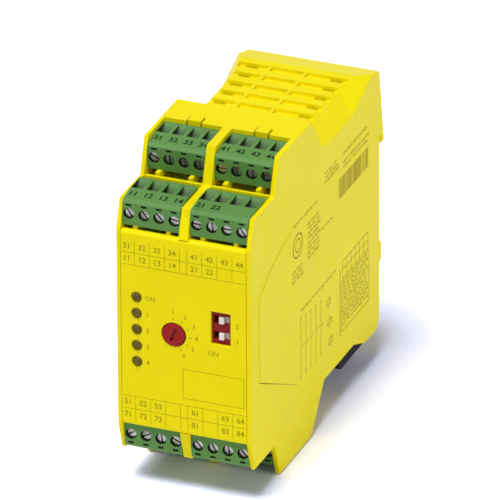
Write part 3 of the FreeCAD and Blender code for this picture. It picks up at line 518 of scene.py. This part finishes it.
def switch_figures(sheet, mid):
    """ON below the slide switch and a figure beside each slider."""
    low, high = box("dip_switch")
    centre = middle("dip_switch").z - mid
    below, beside = 3.6, 2.5
    half_pitch, drop = 2.75, 0.8
    sheet.text("ON", low.x + 0.6, low.z - mid - below, SWITCH_NUMBER)
    for sign, figure in ((1, "2"), (-1, "1")):
        sheet.text(figure, high.x + beside, centre + sign * half_pitch - drop, SWITCH_NUMBER)


def light_figures(sheet, mid):
    """A word or figure beside each of the five status lights, in a column."""
    low, high = box("light_guides")
    radius = (high.x - low.x) / 2
    pitch = (high.z - low.z - 2 * radius) / (len(LIGHT_WORDS) - 1)
    beside = 1.5
    for i, word in enumerate(LIGHT_WORDS):
        half_wide = 1.4 if len(word) > 1 else 0.5
        v = high.z - radius - i * pitch - mid
        sheet.text(word, high.x + beside + half_wide, v, FIGURE)


def panel_print(material):
    """Tables, dial figures, light figures and the empty label field on the front panel."""
    low, high = box("front_panel")
    mid = (low.z + high.z) / 2
    half_width = high.x - TABLE_MARGIN
    sheet = Print((0, low.y, mid), (1, 0, 0), (0, 0, 1))
    for side in SIDES:
        pole_table(sheet, side, half_width)
    dial(sheet, mid)
    switch_figures(sheet, mid)
    light_figures(sheet, mid)
    sheet.outline(LABEL_LEFT, LABEL_LOW, half_width - LABEL_MARGIN, LABEL_HIGH, TABLE_LINE)
    sheet.finish("panel_print", "root", material)


# Plugs

def plug_print(seat, material):
    """Pole numbers on the sloping strip of one plug."""
    low, high = box(seat + "_plug")
    side = 1 if seat.startswith("upper") else -1
    end = high.z if side > 0 else low.z
    strip_front = Vector((0, low.y + STRIP_FRONT, end - side * STRIP_DROP))
    strip_back = Vector((0, low.y + STRIP_BACK, end))
    origin = (strip_front + strip_back) / 2
    origin.x = (low.x + high.x) / 2
    sheet = Print(origin, (side, 0, 0), (strip_back - strip_front).normalized())
    for i, number in enumerate(pole_numbers(seat)):
        if number:
            sheet.text(number, (i - 1.5) * POLE_PITCH * side, 0, PLUG_NUMBER, bold=0.09)
    sheet.finish(seat + "_print", seat + "_plug", material)


# Side walls

def word_rows(sheet, left, right, top, rows, pitch, seed):
    """Rows of strokes in groups, like small print too fine to read."""
    draw = random.Random(seed)
    for row in range(rows):
        v = top - row * pitch
        u = left
        while u < right - ROW_END:
            end = min(u + draw.uniform(WORD_SHORTEST, WORD_LONGEST), right)
            while u < end:
                foot = v + draw.choice(STROKE_FEET)
                head = v + draw.choice(STROKE_TOPS)
                sheet.bar(u, foot, u + STROKE, head)
                level = draw.choice((foot, v - CROSSBAR / 2, head - CROSSBAR))
                sheet.bar(u + STROKE, level, u + LETTER_WIDTH, level + CROSSBAR)
                u += LETTER_PITCH
            u += WORD_GAP


def bars(sheet, left, right, foot, head):
    """Upright bars of a few widths, which code nothing."""
    draw = random.Random(11)
    widths, gaps = (0.25, 0.4, 0.6), (0.3, 0.45, 0.6)
    u = left
    while u < right:
        wide = draw.choice(widths)
        sheet.bar(u, foot, u + wide, head)
        u += wide + draw.choice(gaps)


def contact(sheet, u, top, foot):
    """Contact symbol: two leads with small terminal rings and an open blade."""
    mid = (top + foot) / 2
    half_gap = 2.0
    ring_radius, ring_width = 0.5, 0.18
    blade_lean, blade_rise = 1.3, 1.9
    for v, towards in ((top, mid + half_gap), (foot, mid - half_gap)):
        sheet.ring(u, v, ring_radius, ring_width, SMALL_RING_SIDES)
        sheet.line(u, v + math.copysign(ring_radius, towards - v), u, towards, SKETCH_LINE)
    sheet.line(u, mid - half_gap, u + blade_lean, mid + blade_rise, SKETCH_LINE)


def coil(sheet, u, v):
    """Relay coil symbol with its leads."""
    half_wide, half_tall, lead = 1.8, 0.9, 1.5
    line, slash = 0.2, 0.16
    sheet.outline(u - half_wide, v - half_tall, u + half_wide, v + half_tall, line)
    sheet.line(u - half_wide, v - half_tall, u + half_wide, v + half_tall, slash)
    for sign in (-1, 1):
        sheet.line(u, v + sign * half_tall, u, v + sign * (half_tall + lead), line)


def wiring_sketch(sheet):
    """Row of contacts ganged by a thin line, and a column of coils beside them."""
    contact_left, contact_top, contact_foot = 41.5, -9.0, -29.5
    contact_pitch, contact_drop = 4.3, 0.6
    gang_line, gang_width = (42.2, -19.2, 60.5, -19.6), 0.14
    coil_left, coil_top = 65.5, -14.6
    coil_lean, coil_pitch = 0.9, 7.2
    divider = (75.2, -31.5, 75.6, -8.0)
    for i in range(5):
        top = contact_top - i * contact_drop
        contact(sheet, contact_left + i * contact_pitch, top, contact_foot)
    sheet.line(*gang_line, gang_width)
    word_rows(sheet, *SKETCH_PRINT)
    for i in range(3):
        coil(sheet, coil_left + i * coil_lean, coil_top - i * coil_pitch)
    sheet.bar(*divider)


def wall_table(sheet):
    """Table of two rows and six columns, over a framed field of small print."""
    left, right, foot, head = 77.5, 99.8, -12.0, -6.0
    columns = 6
    print_field = (76.6, -30.6, 100.7, -12.9)
    between = (foot + head) / 2
    half_line = SKETCH_LINE / 2
    sheet.outline(left, foot, right, head, SKETCH_LINE)
    for i in range(1, columns):
        u = left + i * (right - left) / columns
        sheet.bar(u - half_line, foot, u + half_line, head)
    sheet.bar(left, between - half_line, right, between + half_line)
    word_rows(sheet, *TABLE_PRINT)
    sheet.outline(*print_field, SKETCH_LINE)


def side_print(material):
    """Generic lasered marks on the right wall: small print, bars, a ring, a wiring sketch."""
    wall = box("housing_shell")[1].x
    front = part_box("front_panel")[0].y / MM
    sheet = Print((wall, front, middle("front_panel").z), (0, 1, 0), (0, 0, 1))
    for place in TYPE_PRINT:
        word_rows(sheet, *place)
    bars(sheet, *BARS_FIELD)
    for place in RATING_PRINT:
        word_rows(sheet, *place)
    for radius, width, sides in ((4.2, 0.5, 40), (2.4, 0.35, RING_SIDES)):
        sheet.ring(*RING_MARK, radius, width, sides)
    wiring_sketch(sheet)
    wall_table(sheet)
    sheet.finish("side_print", "root", material)


def pad_shadow_line(material):
    """Painted shadow: a dark line under the raised pad on each side wall, where the step's shade
    falls.
    """
    low, high = box("housing_shell")
    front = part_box("front_panel")[0].y / MM
    mid = middle("front_panel").z
    (u0, v0), (u1, v1) = PAD_LOW_EDGE
    for name, side, x in (("left", -1, low.x), ("right", 1, high.x)):
        start = Vector((x - side * RELIEF, front, mid))
        along = (Vector((x, front + RELIEF_END, mid)) - start).normalized() * side
        sheet = Print(start, along, (0, 0, 1))
        points = [(u0, v0), (u1, v1), (u1, v1 - PAD_LINE_BACK), (u0, v0 - PAD_LINE_FRONT)]
        if side < 0:
            points = [(-u, v) for u, v in reversed(points)]
        sheet.shape(points)
        sheet.finish("pad_shadow_line_" + name, "root", material)


# Camera, light and floor -----------------------------------------------------------------------

def add_camera():
    """Long lens from the front right, slightly above."""
    azimuth, elevation, roll = (math.radians(angle) for angle in
                                (CAMERA_AZIMUTH, CAMERA_ELEVATION, CAMERA_ROLL))
    forward = Vector((-math.sin(azimuth) * math.cos(elevation),
                      math.cos(azimuth) * math.cos(elevation), -math.sin(elevation)))
    right = Vector((math.cos(azimuth), math.sin(azimuth), 0))
    up = right.cross(forward)
    turned_right = right * math.cos(roll) + up * math.sin(roll)
    turned_up = up * math.cos(roll) - right * math.sin(roll)
    target = Vector(CAMERA_TARGET) * MM
    distance = CAMERA_DISTANCE * MM
    data = bpy.data.cameras.new("camera")
    data.sensor_width = SENSOR
    data.lens = LENS
    data.shift_x, data.shift_y = CAMERA_SHIFT
    data.clip_start = 0.1
    data.clip_end = 50
    camera = bpy.data.objects.new("camera", data)
    axes = Matrix((turned_right, turned_up, -forward)).transposed().to_4x4()
    camera.matrix_world = Matrix.Translation(target - forward * distance) @ axes
    bpy.context.scene.collection.objects.link(camera)
    bpy.context.scene.camera = camera


def seen_directly(nodes, links):
    """1 for camera, glossy and transmission rays, 0 for the light that reaches surfaces."""
    path = nodes.new("ShaderNodeLightPath")
    total = path.outputs["Is Camera Ray"]
    for name in ("Is Glossy Ray", "Is Transmission Ray"):
        add = nodes.new("ShaderNodeMath")
        add.operation = "MAXIMUM"
        links.new(total, add.inputs[0])
        links.new(path.outputs[name], add.inputs[1])
        total = add.outputs["Value"]
    return total


def add_world():
    """Even grey surroundings for light, white where they are seen."""
    world = bpy.data.worlds.new("studio")
    bpy.context.scene.world = world
    world.use_nodes = True
    nodes, links = world.node_tree.nodes, world.node_tree.links
    strength = nodes.new("ShaderNodeMapRange")
    strength.inputs["To Min"].default_value = WORLD_LEVEL
    strength.inputs["To Max"].default_value = 1.0
    links.new(seen_directly(nodes, links), strength.inputs["Value"])
    background = nodes["Background"]
    background.inputs["Color"].default_value = (1, 1, 1, 1)
    links.new(strength.outputs["Result"], background.inputs["Strength"])


def add_floor():
    """Pale floor under the part: bright enough where it is seen that only the shadow shows."""
    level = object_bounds()[0].z - FLOOR_GAP * MM
    bpy.ops.mesh.primitive_plane_add(size=FLOOR_SIZE * MM, location=(0, 0, level))
    floor = bpy.context.object
    floor.name = "floor"
    material = bpy.data.materials.new("floor_white")
    material.use_nodes = True
    nodes, links = material.node_tree.nodes, material.node_tree.links
    nodes.remove(nodes["Principled BSDF"])
    mix = nodes.new("ShaderNodeMixShader")
    links.new(seen_directly(nodes, links), mix.inputs["Fac"])
    for i, colour in ((1, FLOOR_COLOUR), (2, FLOOR_SEEN_COLOUR)):
        diffuse = nodes.new("ShaderNodeBsdfDiffuse")
        diffuse.inputs["Color"].default_value = colour
        links.new(diffuse.outputs["BSDF"], mix.inputs[i])
    links.new(mix.outputs["Shader"], nodes["Material Output"].inputs["Surface"])
    floor.data.materials.append(material)


def add_sun(name, strength, azimuth, elevation, softness):
    """Broad light from a direction round the part; azimuth 0 is the front, 90 the right."""
    data = bpy.data.lights.new(name, "SUN")
    data.energy = strength
    data.angle = math.radians(softness)
    lamp = bpy.data.objects.new(name, data)
    a, e = math.radians(azimuth), math.radians(elevation)
    source = Vector((math.sin(a) * math.cos(e), -math.cos(a) * math.cos(e), math.sin(e)))
    lamp.rotation_mode = "QUATERNION"
    lamp.rotation_quaternion = source.to_track_quat("Z", "Y")
    bpy.context.scene.collection.objects.link(lamp)


def light_studio():
    add_world()
    for name, settings in SUNS.items():
        add_sun(name, *settings)


materials = make_materials()
dress_nodes(materials)
panel_print(materials["panel_ink"])
side_print(materials["side_ink_and_shade"])
# Painted shadow line under the pad on each side wall, in the side walls' ink.
pad_shadow_line(materials["side_ink_and_shade"])
for seat in SEATS:
    plug_print(seat, materials["plug_ink"])
add_camera()
light_studio()
add_floor()
bpy.context.scene.view_settings.view_transform = "Standard"
